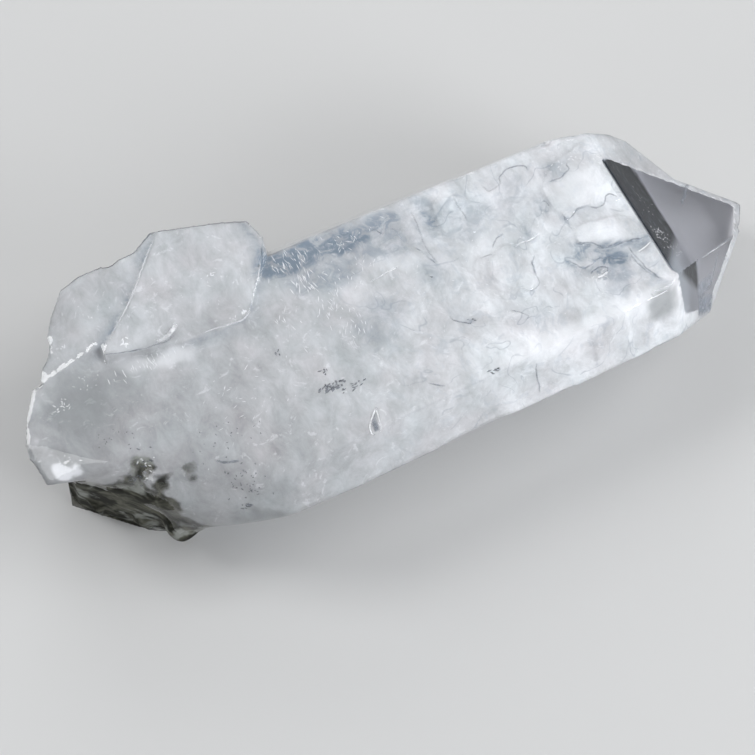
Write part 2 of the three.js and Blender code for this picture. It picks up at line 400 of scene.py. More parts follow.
# Where the milk is thin and the inside shows bluish: centre (x, y), radii, turn in degrees, strength.
CLEAR_TOP = [
    (-6.0, 18.6, 7.0, 2.9, -2, 1.1),
    (2.0, 18.2, 7.0, 2.6, -2, 1.0),
    (9.0, 18.2, 5.0, 2.0, -2, 0.7),
    (17.1, 15.4, 1.4, 2.0, 10, 0.7),
    (16.9, 17.6, 2.2, 3.2, 10, 0.4),
    (38.6, 14.3, 2.4, 1.8, 0, 0.35),
    (34.1, 8.7, 1.8, 2.6, -10, 0.45),
    (30.5, 6.8, 1.2, 2.4, 0, 0.45),
    (33.1, 15.0, 1.8, 2.0, 0, 0.2),
    (38.0, -1.4, 5.5, 1.5, -12, 0.75),
    (39.4, -4.1, 3.0, 1.4, -12, 1.1),
    (36.8, -4.8, 1.4, 0.8, 0, 1.0),
    (39.3, -6.9, 3.0, 2.0, -10, 0.45),
    (45.0, -3.2, 1.6, 1.4, 0, 0.5),
    (37.8, -8.9, 2.2, 1.8, 0, 0.3),
    (13.0, 6.5, 2.4, 2.8, 0, 0.3),
    (1.0, 2.0, 5.0, 3.5, -25, 0.25),
    (23.0, -7.5, 4.0, 1.4, -20, 0.18),
    (-3.0, 14.4, 8.0, 3.6, -8, 0.42),
    (8.0, 14.6, 7.0, 3.4, -8, 0.42),
    (21.0, 13.5, 8.0, 4.5, -10, 0.32),
    (31.0, 13.0, 4.0, 4.0, 0, 0.25),
    (4.0, 4.0, 4.5, 2.0, -20, 0.25),
]
# Where it is densest and whitest; the first two, along the front ridge, are painted glow of light
# passing through the milk.
WHITE_AND_GLOW_TOP = [
    (26, -12.4, 12, 1.8, -2, 0.55),
    (40, -12.4, 7, 2.0, -2, 0.7),
    (41, 9.6, 5.5, 3.6, -8, 0.5),
    (39, 1.8, 5.0, 2.2, -8, 0.45),
    (9.0, 11, 6, 1.8, -20, 0.35),
    (14.4, 8.6, 2.4, 1.6, -20, 0.4),
    (-29.6, 11.2, 4.6, 1.7, -6, 0.6),
    (-35.6, 13.0, 4.0, 1.5, -20, 0.5),
    (24, 9, 4, 5, -10, 0.3),
]
# Iron-stained quartz of the lower root, painted darker still for the shade it lies in under the
# overhang: centre (x, y, z), radius, strength.
STAIN_AND_SHADE_PATCHES = [
    (-47, 1, 8, 13, 1.2),
    (-40, -5, 8, 8, 1.1),
    (-43.5, -2.5, 18, 5.5, 1.0),
    (-40, -5.5, 18, 4.5, 0.9),
    (-35.6, -8.4, 8, 4.5, 0.75),
    (-41.6, -2.2, 24.4, 2.6, 0.72),
    (-38.8, -5.4, 22.6, 2.2, 0.6),
    (-34.6, -6.4, 25.2, 1.9, 0.5),
    (-38, -9, 11, 6.5, 0.6),
    (-51, 10, 8, 7, 0.8),
    (-46, 19, 8, 7, 0.5),
]
# Grey, glassy parts, where the milk thins out, and painted shade along the crystal's lower front rim.
GREY_GLASS_AND_SHADE = [
    (-45.5, 11.5, 28, 6.5, 0.9),
    (-40.5, 10.5, 28.5, 5.5, 0.55),
    (-47, 6, 27, 6, 0.35),
    (43.6, -13.6, 25.8, 3.2, 1.0),
    # These three are painted shade on the lower front rim, which lies in shadow.
    (-27.5, -16.6, 18.5, 3.5, 0.9),
    (-30.0, -15.0, 13.0, 6.0, 1.0),
    (-22.0, -18.0, 13.0, 6.0, 0.8),
]
# Painted light: cloudy bright spots on the slab, where its corner is lit white.
LIT_SPOTS = [
    (-51.4, 8.6, 27, 3.0, 0.15),
    (-52.4, 2.8, 24.2, 2.0, 1.0),
    (-50.8, 1.6, 25.2, 1.9, 0.8),
    (-54.8, 8, 26, 1.6, 0.4),
]


def flat_patches(points, patches, warp):
    """Soft-edged ellipses on the upper side of the crystal."""
    total = np.zeros(len(points))
    for x, y, across, deep, turn, strength in patches:
        c, s = math.cos(math.radians(turn)), math.sin(math.radians(turn))
        dx = points[:, 0] - x + warp[:, 0]
        dy = points[:, 1] - y + warp[:, 1]
        away = np.hypot((c * dx + s * dy) / across, (c * dy - s * dx) / deep)
        total = np.maximum(total, strength * (1 - smooth(0.45, 1.2, away)))
    return total * smooth(20, 26, points[:, 2])


def round_patches(points, patches, warp):
    """Soft-edged balls."""
    total = np.zeros(len(points))
    for x, y, z, radius, strength in patches:
        away = np.linalg.norm(points + warp - (x, y, z), axis=1) / radius
        total = np.maximum(total, strength * (1 - smooth(0.5, 1.2, away)))
    return total


# Healed cracks on the top face: points (x, y), how dark the line is, and how strongly the milk is
# shaded to the left of it.
CRACKS = [
    ([(46.5, 5.6), (45.9, 5.4), (45.3, 6.1), (44.9, 6.6), (44.2, 6.5), (43.6, 5.7), (42.8, 5.4),
      (41.8, 5.4), (40.8, 6.2), (39.2, 6.5), (38.5, 6.3), (37.7, 5.8), (37, 5.6), (36.5, 5.6),
      (36.3, 6.6), (36.2, 7.8)], 0.5, 0.25),
    ([(37.2, 12.6), (38.2, 12.7), (39.3, 12.7), (40.4, 13.2), (41.3, 13.6), (41.3, 14.4),
      (41.9, 14.8)], 0.5, 0.35),
    ([(27.3, 17.7), (27.5, 16.7), (27.7, 15.8), (28.5, 15.8), (30, 16.1), (30.5, 17.2),
      (31.4, 17.7), (32.3, 18.1), (33.6, 18), (35, 17.4), (35.4, 16.8), (35.1, 15.9)], 0.5, 0.15),
    ([(46.5, -2.6), (45, -2.7), (44, -2.4), (43.1, -2.2), (41.4, -2), (40.4, -1.8), (39.4, -1.6),
      (38.7, -1), (38, -0.2), (37, 0.4), (36.1, 0.9), (35.6, 1.4)], 0.8, 0.75),
    ([(41.7, -4.4), (40.8, -4.3), (39.5, -3.4), (38.5, -3.2), (37.6, -2.9), (36.5, -3.3),
      (35.7, -3.4), (34.8, -3.3), (34.2, -2.8), (33.8, -2), (33, -0.8)], 0.9, 0.8),
    ([(35.1, -4.9), (35.7, -4.5), (36.8, -4.3), (37.7, -4.6), (38.2, -5.1), (37.8, -5.5),
      (36.9, -5.5)], 0.9, 0.2),
    ([(45, -10.5), (44.4, -9.8), (44, -8.8), (43.6, -7.8), (43.5, -6.8), (43.3, -5.6), (43, -4.2),
      (43, -2.9)], 0.7, 0.4),
    ([(42.6, -4.4), (42.7, -5.9), (43, -7.2), (43.4, -8.8)], 0.8, 0),
    ([(28.7, 2.6), (28.7, 2), (27.7, 1), (27.6, 0.1), (27.4, -0.9), (27.3, -2), (26.9, -2.7),
      (25.8, -3.2), (24.7, -2.8), (24.2, -1.6)], 0.5, 0.12),
    ([(23.5, 6.4), (25.2, 7.6), (26.4, 7.8)], 0.5, 0.15),
    ([(34.7, 10.4), (35.1, 9.8), (35.3, 8.9)], 0.8, 0.3),
    ([(20.8, 5.5), (21.9, 5.4), (23, 5.4)], 0.5, 0),
    ([(20.7, -4.8), (22, -5.9), (22.8, -7), (21.9, -7.4)], 0.5, 0.15),
    ([(7.5, 17.7), (8.3, 17.5), (8.7, 17), (9, 16.6), (9.2, 16.1)], 0.7, 0.5),
    ([(10.7, 16.7), (11.1, 16), (11.3, 15.2), (11.3, 14.5), (11.3, 14)], 0.6, 0.45),
    ([(14.6, 7.3), (14.3, 9), (14.1, 10.9), (14.3, 12.8), (14.7, 15.5), (15, 18.2)], 0.3, 0.4),
    ([(11.8, -0.9), (11.9, -1.6), (12.3, -2.4), (13.2, -3.3), (14.2, -4), (14.6, -3.7)], 0.8, 0.3),
    ([(22.2, 17.5), (22.1, 15.9), (22.1, 13.8), (22.1, 12)], 0.3, 0.25),
    ([(3.6, -10.2), (4.7, -11.2), (5.6, -11.9)], 0.7, 0),
    ([(12.6, 12), (13.3, 10.3), (13.8, 8.9), (14.4, 7.6)], 0.5, 0.2),
    ([(42, -12), (42.1, -13.1), (41.3, -13.9)], 0.5, 0),
]
# Edges of the side crystal, with the milk darkened in a strip on the left: points (x, y), how strong it
# is.
EDGES = [
    ([(-38.6, 16.9), (-32.4, 21.8), (-23.7, 30.8)], 0.6),
    ([(-9.6, 21.5), (-13.3, 16), (-16.4, 12.4), (-20.4, 12.1), (-26, 12.4)], 0.35),
    ([(-9.8, 21.3), (-9.6, 23.1), (-10.2, 25.6), (-10.4, 26.5)], 0.5),
]
SHADE_REACH = 1.1  # how far the shade beside a path goes before it is a third as strong


def shade_beside(points, paths):
    """How strongly the milk is shaded on the left of each path."""
    total = np.zeros(len(points))
    for pairs, strength in paths:
        nearest = np.full(len(points), np.inf)
        on_left = np.zeros(len(points), bool)
        for start, end in zip(np.array(pairs), np.array(pairs[1:])):
            along = end - start
            away = points[:, :2] - start
            away = away - np.clip(away @ along / (along @ along), 0, 1)[:, None] * along
            distance = np.hypot(away[:, 0], away[:, 1])
            closer = distance < nearest
            nearest[closer] = distance[closer]
            on_left[closer] = (along[0] * away[:, 1] - along[1] * away[:, 0] > 0)[closer]
        total = np.maximum(total, strength * on_left * np.exp(-nearest / SHADE_REACH))
    return total * smooth(25.5, 27, points[:, 2])


# How white the milk is along the large crystal, from its root to its point.
TONE_ALONG = (
    (-60, 0.33), (-44, 0.32), (-34, 0.34), (-22, 0.36), (-8, 0.42),
    (4, 0.48), (14, 0.54), (26, 0.59), (46, 0.60),
    (51, 0.46), (60, 0.42),
)
SIDE_TONE = 0.41  # the same on the side crystal's upper face and on its flank
FLANK_TONE = 0.43


def tone_at(points):
    """How white the milk is, on the large crystal and on the side crystal behind it."""
    places, tones = zip(*TONE_ALONG)
    along = np.interp(points[:, 0] + 3 * cloud(points, 12, 90), places, tones)
    behind = smooth(13.5, 15.5, points[:, 1] - 0.11 * (points[:, 0] + 36))
    side = behind * (1 - smooth(-10, -7, points[:, 0]))
    under = [PLANES[name][1] - points @ PLANES[name][0] for name in ("side", "flank")]
    side_tone = SIDE_TONE + (FLANK_TONE - SIDE_TONE) * smooth(-0.5, 0.5, under[0] - under[1])
    return along + side * (side_tone - along)


def masks_at(points):
    """All the masks that the milk's colour follows, each with one number for each point."""
    warp = warping(points, 4, 2.0, 50) + warping(points, 1.3, 0.6, 80)
    hidden = 1 - smooth(4, 22, points[:, 2])
    thin = smooth(0.1, 0.6, cloud(points, 9, 7)) * hidden * 0.6
    return {
        "tone": tone_at(points),
        "clear": np.maximum.reduce([
            flat_patches(points, CLEAR_TOP, warp),
            shade_beside(points, [(pairs, shade) for pairs, _, shade in CRACKS]),
            shade_beside(points, EDGES),
            thin,
        ]),
        "white_and_glow": flat_patches(points, WHITE_AND_GLOW_TOP, 0.6 * warp),
        "stained": round_patches(points, STAIN_AND_SHADE_PATCHES, warp),
        "grey_and_shade": round_patches(points, GREY_GLASS_AND_SHADE, warp),
        "lit_spot": round_patches(points, LIT_SPOTS, 0.5 * warp),
        "busy": smooth(-16, 14, points[:, 0]),
    }


# ---------- the milky inside ----------

MILK_END = (47.1, 0, TOP)  # the milk stops under the edge where the point begins
MILK_END_FACING = np.array([1.0, 0.0, 0.10])
VEIL_START = 47.0  # beyond it only a thinning veil goes on under the two front prism faces
VEIL_DEPTH = 3.4  # its thickness there
VEIL_TAPER = -0.24
PRISM_LINING = {3: 1.6, 4: 1.6, 5: 7.0}  # thickness of the haze along the point's other faces
CAP_LINING = {2: 1.5, 3: 1.5, 4: 1.5, 5: 1.2}
POCKET_CENTRE = (56, 3, 15)  # a place inside the clear point
MILK_DEPTH = 0.12  # how far the milk lies under the solid's surface
CLEAR_DEPTH = 0.5  # how much deeper it lies where it is thin
# Where the stain is thick, its colour is painted shade as well as iron stain.
CRUST_DEPTH = 0.3  # how far the clear skin lies under the stain where that is thick
POINT_ROUNDING = 0.06  # how much of the root's wear the point's hidden linings get
POCKET_ROUNDING = 0.6  # and the pocket's own walls


def clear_pocket():
    """The clear space inside the point."""
    planes = [(MILK_END, -MILK_END_FACING)]
    for k in (1, 2):
        normal = prism_normal(k)
        inner = AXIS + normal * (PRISM[k] - VEIL_DEPTH) + np.array([VEIL_START, 0, 0])
        planes.append((inner, normal + np.array([VEIL_TAPER, 0, 0])))
    for k, inset in PRISM_LINING.items():
        planes.append((AXIS + prism_normal(k) * (PRISM[k] - inset), prism_normal(k)))
    for k, inset in CAP_LINING.items():
        planes.append((AXIS + cap_normal(k) * (CAP[k] - inset), cap_normal(k)))
    return solid_behind("clear_pocket", planes)


def inside(points):
    """Whether points lie well under the faces of the large crystal's point."""
    places = points - AXIS
    under = [PRISM[k] - places @ prism_normal(k) for k in range(6)]
    under += [CAP[k] - places @ cap_normal(k) for k in range(6)]
    return smooth(0.9, 1.2, np.minimum.reduce(under)) * smooth(46.5, 47.5, points[:, 0])


def milk_rounding(points):
    point = POINT_ROUNDING * smooth(46.5, 47.5, points[:, 0])
    return np.maximum.reduce([wear(points), POCKET_ROUNDING * inside(points), point])


def crust_at(stained):
    """Where the stain and its painted shade are thick enough to lie on the surface as a dull crust."""
    return smooth(0.8, 1.0, stained)


def dark_band_at(points, normals):
    """Where the milk's end wall is painted dark, a painted reflection of dark surroundings seen through
    the point: above its foot, and behind a line that slopes up forwards.
    """
    facing = smooth(0.7, 0.95, normals[:, 0])
    above = smooth(-4, 2, points[:, 2])
    line = 0.42 * (27 - points[:, 2]) - 8.6
    return facing * above * smooth(line - 1.5, line + 1.5, points[:, 1])


def milk_mesh():
    obj = cad_copy("milk")
    pocket = clear_pocket()
    cut = obj.modifiers.new("cut", "BOOLEAN")
    cut.operation = "DIFFERENCE"
    cut.solver = "EXACT"
    cut.object = pocket
    mesh = even_out(obj, milk_rounding)
    bpy.data.objects.remove(pocket)
    points = to_model(vertices_of(mesh))
    normals = normals_of(mesh)
    masks = masks_at(points)
    inward = np.array(POCKET_CENTRE) - points
    inward /= np.linalg.norm(inward, axis=1)[:, None]
    masks["lining"] = smooth(0.05, 0.3, (inward * normals).sum(1)) * smooth(46, 47, points[:, 0])
    masks["dark_band"] = masks["lining"] * dark_band_at(points, normals)
    masks["along"] = smooth(47, 52, points[:, 0])
    point = smooth(44.5, 47.5, points[:, 0])
    ripple = 0.1 * (1 + cloud(points, 4.0, 21, 2))
    depth = ripple + CLEAR_DEPTH * np.maximum(masks["clear"], 0.7 * masks["grey_and_shade"])
    depth = (MILK_DEPTH + depth * (1 - point)) * (1 - crust_at(masks["stained"]))
    set_vertices(mesh, to_row(points - normals * depth[:, None]))
    for name, values in masks.items():
        store(mesh, name, values)
    shade_smooth(mesh)
    return obj


WISP_STRETCH = (1.0, 0.6, 1.0)  # drawn out across the large crystal
VEIL_EDGES = (0.40, 0.47, 0.54, 0.61)
CONTOUR_BLUE = (0.25, 0.28, 0.33)
THIN_BLUE = (0.33, 0.38, 0.44)
WISP_WHITE = (0.82, 0.83, 0.85)
DENSE_WHITE_AND_GLOW = (0.80, 0.81, 0.83)
CLEAR_BLUE = (0.20, 0.245, 0.295)
GLASSY_GREY_AND_SHADE = (0.25, 0.262, 0.268)
LIT_SPOT_WHITE = (0.84, 0.85, 0.88)
# The stain colours are painted dark for the shade the lower root lies in, as well as for its iron
# stain.
STAIN_SHADE_DARK = (0.014, 0.014, 0.010)
STAIN_OLIVE = (0.12, 0.12, 0.095)
STAIN_PALE = (0.26, 0.27, 0.25)
LINING_START = (0.34, 0.37, 0.41)  # the haze along the clear pocket, from the milk to the apex
LINING_END = (0.88, 0.87, 0.90)
# The dark band seen through the point is painted: a painted reflection of dark surroundings, with light
# speckles.
DARK_BAND_DEEP = (0.010, 0.014, 0.022)
DARK_BAND_SPECKLE = (0.09, 0.11, 0.125)


def milk_colour(tree, place):
    """Milk with its haze, overlapping veils, wisps and fine contour lines."""
    busy = mask(tree, "busy")
    haze = scaled(tree, grain(tree, place, 90, 5, 0.6), 0.24, 0.88)
    wisps = scaled(tree, grain(tree, place, 330, 6, 0.35, WISP_STRETCH, 0.72), 1.05, 0.475)
    tone = maths(tree, "MULTIPLY", mask(tree, "tone"), maths(tree, "MULTIPLY", haze, wisps))
    field = grain(tree, place, 105, 5, 0.9)
    for edge in VEIL_EDGES:
        veil = maths(tree, "MULTIPLY", ramp(tree, field, edge, edge + 0.02), busy)
        tone = maths(tree, "MULTIPLY", tone, scaled(tree, veil, -0.06, 1.03))
    colour = add(tree, "ShaderNodeCombineColor")
    warmth = scaled(tree, grain(tree, place, 160, 2), 0.10, 0.93)
    link(tree, maths(tree, "MULTIPLY", tone, warmth), colour.inputs[0])
    link(tree, tone, colour.inputs[1])
    link(tree, maths(tree, "MULTIPLY", tone, 1.03), colour.inputs[2])
    lines = wavy_lines(tree, grain(tree, place, 75, 3, 0.5), 8, 0.06)
    broken = ramp(tree, grain(tree, place, 210, 3), 0.44, 0.58)
    lines = maths(tree, "MULTIPLY", maths(tree, "MULTIPLY", lines, broken), busy)
    colour = blend_colour(tree, scaled(tree, lines, 0.5), colour.outputs[0], CONTOUR_BLUE)
    patchy = ramp(tree, grain(tree, place, 300, 6, 1.4, None, 0.68), 0.54, 0.62)
    patchy = maths(tree, "MULTIPLY", patchy, busy)
    colour = blend_colour(tree, scaled(tree, patchy, 0.22), colour, THIN_BLUE)
    bright = ramp(tree, grain(tree, place, 280, 6, 2.0, None, 0.68), 0.58, 0.66)
    return blend_colour(tree, scaled(tree, bright, 0.30), colour, WISP_WHITE)


def with_patches(tree, place, colour):
    """The milk with its densest and clearer places, glassy places, painted shade on the lower front
    rim, painted glow along the front ridge and painted light on the slab's lit spots.
    """
    # Dense white milk, and painted glow along the front ridge.
    colour = blend_colour(tree, scaled(tree, mask(tree, "white_and_glow"), 0.8), colour, DENSE_WHITE_AND_GLOW)
    patchy = ramp(tree, grain(tree, place, 420, 6, 1.0, None, 0.70), 0.38, 0.60)
    patchy = scaled(tree, patchy, 0.9, 0.3)
    clear = maths(tree, "MULTIPLY", mask(tree, "clear"), patchy)
    colour = blend_colour(tree, clear, colour, CLEAR_BLUE)
    # Glassy grey, and painted shade on the lower front rim.
    colour = blend_colour(tree, scaled(tree, mask(tree, "grey_and_shade"), 0.7), colour, GLASSY_GREY_AND_SHADE)
    # Painted light on the slab's lit spots, broken up like cloud.
    lit_cloud = maths(tree, "ADD", mask(tree, "lit_spot"), scaled(tree, grain(tree, place, 500, 5), 0.8, -0.4))
    lit_cloud = maths(tree, "MULTIPLY", ramp(tree, lit_cloud, 0.2, 0.9), 0.8)
    return blend_colour(tree, lit_cloud, colour, LIT_SPOT_WHITE)


# The lower root's iron stain, with painted shade laid into it.
def with_stain_and_shade(tree, place, colour):
    rust = ramp(tree, grain(tree, place, 300, 6, 1.0), 0.40, 0.70)
    stain = blend_colour(tree, rust, STAIN_SHADE_DARK, STAIN_OLIVE)
    pale = ramp(tree, grain(tree, place, 250, 5, 0.4), 0.54, 0.68)
    stain = blend_colour(tree, pale, stain, STAIN_PALE)
    edge = scaled(tree, grain(tree, place, 400, 5), 0.9, -0.45)
    edge = maths(tree, "ADD", mask(tree, "stained"), edge)
    return blend_colour(tree, ramp(tree, edge, 0.15, 0.6), colour, stain)


def with_lining(tree, place, colour):
    """The walls of the clear pocket: a haze along the faces, and the end of the milk painted dark as a
    painted reflection of dark surroundings.
    """
    lining = blend_colour(tree, mask(tree, "along"), LINING_START, LINING_END)
    colour = blend_colour(tree, mask(tree, "lining"), colour, lining)
    speckles = ramp(tree, grain(tree, place, 800, 4), 0.5, 0.8)
    dark_band = blend_colour(tree, speckles, DARK_BAND_DEEP, DARK_BAND_SPECKLE)
    return blend_colour(tree, mask(tree, "dark_band"), colour, dark_band)


def milk_material():
    material, tree = new_material("milky_quartz")
    place = add(tree, "ShaderNodeTexCoord").outputs["Object"]
    colour = milk_colour(tree, place)
    for layer in (with_patches, with_stain_and_shade, with_lining):
        colour = layer(tree, place, colour)
    shader = add(tree, "ShaderNodeBsdfPrincipled", Roughness=0.65)
    shader.inputs["Specular IOR Level"].default_value = 0.1
    link(tree, colour, shader.inputs["Base Color"])
    finish_material(tree, shader.outputs[0])
    return material


milk = milk_mesh()
keep(milk, milk_material())


# ---------- the clear skin ----------

SHARP_ANGLE = math.radians(22)  # edges sharper than this stay crisp
QUARTZ_IOR = 1.544
ABSORPTION = 45.0
ABSORPTION_COLOUR = (0.855, 0.87, 0.895, 1)
SHADOW_TINT = (0.96, 0.97, 0.98, 1)


def skin_mesh():
    obj = cad_copy("crystal_skin")
    mesh = even_out(obj, wear)
    points = to_model(vertices_of(mesh))
    under = CRUST_DEPTH * crust_at(masks_at(points)["stained"])
    set_vertices(mesh, to_row(points - normals_of(mesh) * under[:, None]))
    shade_smooth(mesh)
    mesh.set_sharp_from_angle(angle=SHARP_ANGLE)
    return obj


def skin_material():
    """Smooth glass that light also passes straight through, so that the milk inside is lit."""
    material, tree = new_material("clear_quartz")
    shader = add(tree, "ShaderNodeBsdfPrincipled", Roughness=0.03, IOR=QUARTZ_IOR)
    shader.inputs["Transmission Weight"].default_value = 1.0
    shader.inputs["Base Color"].default_value = (1, 1, 1, 1)
    place = add(tree, "ShaderNodeTexCoord").outputs["Object"]
    bump = add(tree, "ShaderNodeBump", Strength=0.25, Distance=0.0003)
    link(tree, grain(tree, place, 240, 2, 0.4, (1, 0.4, 0.4)), bump.inputs["Height"])
    link(tree, bump.outputs[0], shader.inputs["Normal"])
    path = add(tree, "ShaderNodeLightPath")
    through_skin = add(tree, "ShaderNodeBsdfTransparent")
    through_skin.inputs["Color"].default_value = SHADOW_TINT
    mix = add(tree, "ShaderNodeMixShader")
    link(tree, path.outputs["Is Shadow Ray"], mix.inputs[0])
    link(tree, shader.outputs[0], mix.inputs[1])
    link(tree, through_skin.outputs[0], mix.inputs[2])
    volume = add(tree, "ShaderNodeVolumeAbsorption", Density=ABSORPTION)
    volume.inputs["Color"].default_value = ABSORPTION_COLOUR
    output = finish_material(tree, mix.outputs[0])
    link(tree, volume.outputs[0], output.inputs["Volume"])
    return material


skin = skin_mesh()
keep(skin, skin_material())
SURFACE = BVHTree.FromPolygons(
    [vertex.co for vertex in skin.data.vertices],
    [tuple(polygon.vertices) for polygon in skin.data.polygons],
)


def settled(points, depth):
    """The points, moved to this far under the skin."""
    moved = []
    for point in to_row(points):
        place, normal, _, _ = SURFACE.find_nearest(Vector(point))
        moved.append(place - normal * depth * MM)
    return to_model(moved)


# ---------- healed cracks, painted dark patches, bright cracks and painted glints ---

RIBBON_STEP = 0.25
RIBBON_THICKNESS = 0.04
RIBBON_SHADES = (0, 1, 1, 0)  # how dark a ribbon is across its width
RIBBON_PLACES = np.array([-0.5, -0.2, 0.2, 0.5])  # and where, in widths from its middle
FADE_LENGTH = 0.15  # the part of its length over which each end fades


def along_curve(points, step):
    """Points this far apart on a smooth curve through these."""
    padded = np.vstack([2 * points[0] - points[1], points, 2 * points[-1] - points[-2]])
    dense = []
    for a, b, c, d in zip(padded, padded[1:], padded[2:], padded[3:]):
        for t in np.linspace(0, 1, 12, endpoint=False):
            bend = (2 * a - 5 * b + 4 * c - d) * t**2 + (3 * b - 3 * c + d - a) * t**3
            dense.append(b + 0.5 * ((c - a) * t + bend))
    dense = np.array([*dense, points[-1]])
    length = np.concatenate([[0], np.cumsum(np.linalg.norm(np.diff(dense, axis=0), axis=1))])
    places = np.linspace(0, length[-1], max(4, int(length[-1] / step)))
    return np.column_stack([np.interp(places, length, dense[:, i]) for i in range(dense.shape[1])])


class Ribbons:
    """Thin closed strips that lie just under a face, gathered into one mesh."""

    def __init__(self, seed):
        self.points, self.faces, self.shades = [], [], []
        self.random = np.random.default_rng(seed)

    def strip(self, plane, pairs, width, strength, depth=0.07):
        """A strip along (x, y) points that fades towards its sides and its ends."""
        normal = PLANES[plane][0]
        path = lifted(plane, along_curve(np.array(pairs, float), RIBBON_STEP))
        wander = warping(path, 1.6, 0.22, self.random.integers(1000))
        wander += warping(path, 0.5, 0.07, self.random.integers(1000))
        path += wander - (wander @ normal)[:, None] * normal
        ahead = np.gradient(path, axis=0)
        left = np.cross(normal, ahead)
        left /= np.linalg.norm(left, axis=1)[:, None]
        fade = strength * (0.6 + 0.5 * noise(path, 1.8, self.random.integers(1000)))
        along = np.linspace(0, 1, len(path))
        fade *= smooth(0, FADE_LENGTH, along) * smooth(0, FADE_LENGTH, along[::-1])
        across = RIBBON_PLACES * width
        sheet = (path[:, None] + left[:, None] * across[:, None]).reshape(-1, 3)
        first = len(self.points)
        for side in (depth, depth + RIBBON_THICKNESS):
            self.points.extend(settled(sheet, side))
            self.shades.extend(np.outer(fade, RIBBON_SHADES).ravel())
        self.wrap(first, len(path), len(across))

    def wrap(self, first, count, rows):
        """The faces around two sheets of points, one under the other."""

        def at(side, i, j):
            return first + (side * count + i) * rows + j

        for i in range(count - 1):
            for j in range(rows - 1):
                self.faces.append((at(0, i, j), at(0, i + 1, j), at(0, i + 1, j + 1), at(0, i, j + 1)))
                self.faces.append((at(1, i, j), at(1, i, j + 1), at(1, i + 1, j + 1), at(1, i + 1, j)))
            for j, turned in ((0, True), (rows - 1, False)):
                wall = (at(0, i, j), at(1, i, j), at(1, i + 1, j), at(0, i + 1, j))
                self.faces.append(wall if turned else wall[::-1])
        for i, turned in ((0, False), (count - 1, True)):
            for j in range(rows - 1):
                wall = (at(0, i, j), at(1, i, j), at(1, i, j + 1), at(0, i, j + 1))
                self.faces.append(wall[::-1] if turned else wall)

    def made(self, name):
        mesh = bpy.data.meshes.new(name)
        mesh.from_pydata(to_row(self.points).tolist(), [], self.faces)
        store(mesh, "shade", np.clip(self.shades, 0, 1))
        return new_object(name, mesh)


# More dark lines, and wide dark strips under the front cap face: face, points, width, how dark.
OTHER_LINES = [
    ("cap", [(62.5, 8.3), (61.1, 6.9), (59.5, 5.3), (57.7, 3.4)], 0.7, 1.1),
    ("cap_front", [(59.9, -5.6), (58.9, -6.8), (57.8, -8), (56.3, -9.6), (54.1, -11.1)], 0.5, 1),
    ("cap_front", [(55.6, -10), (54, -11.2), (52, -12.3)], 0.9, 0.6),
    # These two wide strips are painted: dark surroundings seen through the clear point.
    ("cap_front", [(51.6, -13.2), (53, -12.7), (54.4, -12.3), (55.8, -12)], 4.0, 1.2),
    ("cap_front", [(51.8, -11.8), (53.5, -10.8), (55.2, -10), (57, -9)], 3.0, 0.9),
    ("front", [(20.6, -14.3), (20.2, -15.7), (20.1, -17.2)], 0.35, 0.7),
    ("top", [(-6.0, -11.0), (-6.9, -13), (-7.1, -15)], 1.0, 0.8),
    ("side", [(-40, 15.6), (-38.1, 14.9), (-36.3, 14.3), (-34.4, 14), (-32.2, 13.8), (-29.6, 13.6),
              (-27.6, 14.2)], 0.35, 0.6),
    ("break", [(-31.1, -7.1), (-29.3, -8.1), (-27.7, -8.8)], 0.45, 0.7),
]
CRACK_WIDTH = 0.34


def crack_lines():
    ribbons = Ribbons(seed=300)
    for pairs, strength, _ in CRACKS:
        ribbons.strip("top", pairs, CRACK_WIDTH, strength)
    for plane, pairs, width, strength in OTHER_LINES:
        ribbons.strip(plane, pairs, width, strength)
    return ribbons.made("healed_cracks_and_dark_patches")


def see_through_material(name, colour, strength, roughness):
    """A shade that fades out where its mask does."""
    material, tree = new_material(name)
    place = add(tree, "ShaderNodeTexCoord").outputs["Object"]
    shader = add(tree, "ShaderNodeBsdfPrincipled", Roughness=roughness)
    darker = tuple(0.6 * c for c in colour)
    tint = blend_colour(tree, grain(tree, place, 900, 3), darker, colour)
    link(tree, tint, shader.inputs["Base Color"])
    clear = add(tree, "ShaderNodeBsdfTransparent")
    broken = scaled(tree, ramp(tree, grain(tree, place, 1300, 4), 0.3, 0.6), 0.5, 0.5)
    amount = maths(tree, "MULTIPLY", scaled(tree, mask(tree, "shade"), strength), broken)
    mix = add(tree, "ShaderNodeMixShader")
    link(tree, amount, mix.inputs[0])
    link(tree, clear.outputs[0], mix.inputs[1])
    link(tree, shader.outputs[0], mix.inputs[2])
    finish_material(tree, mix.outputs[0])
    return material


cracks = crack_lines()
keep(cracks, see_through_material("healed_crack_and_dark_patch", (0.22, 0.26, 0.32), 0.55, 0.6))

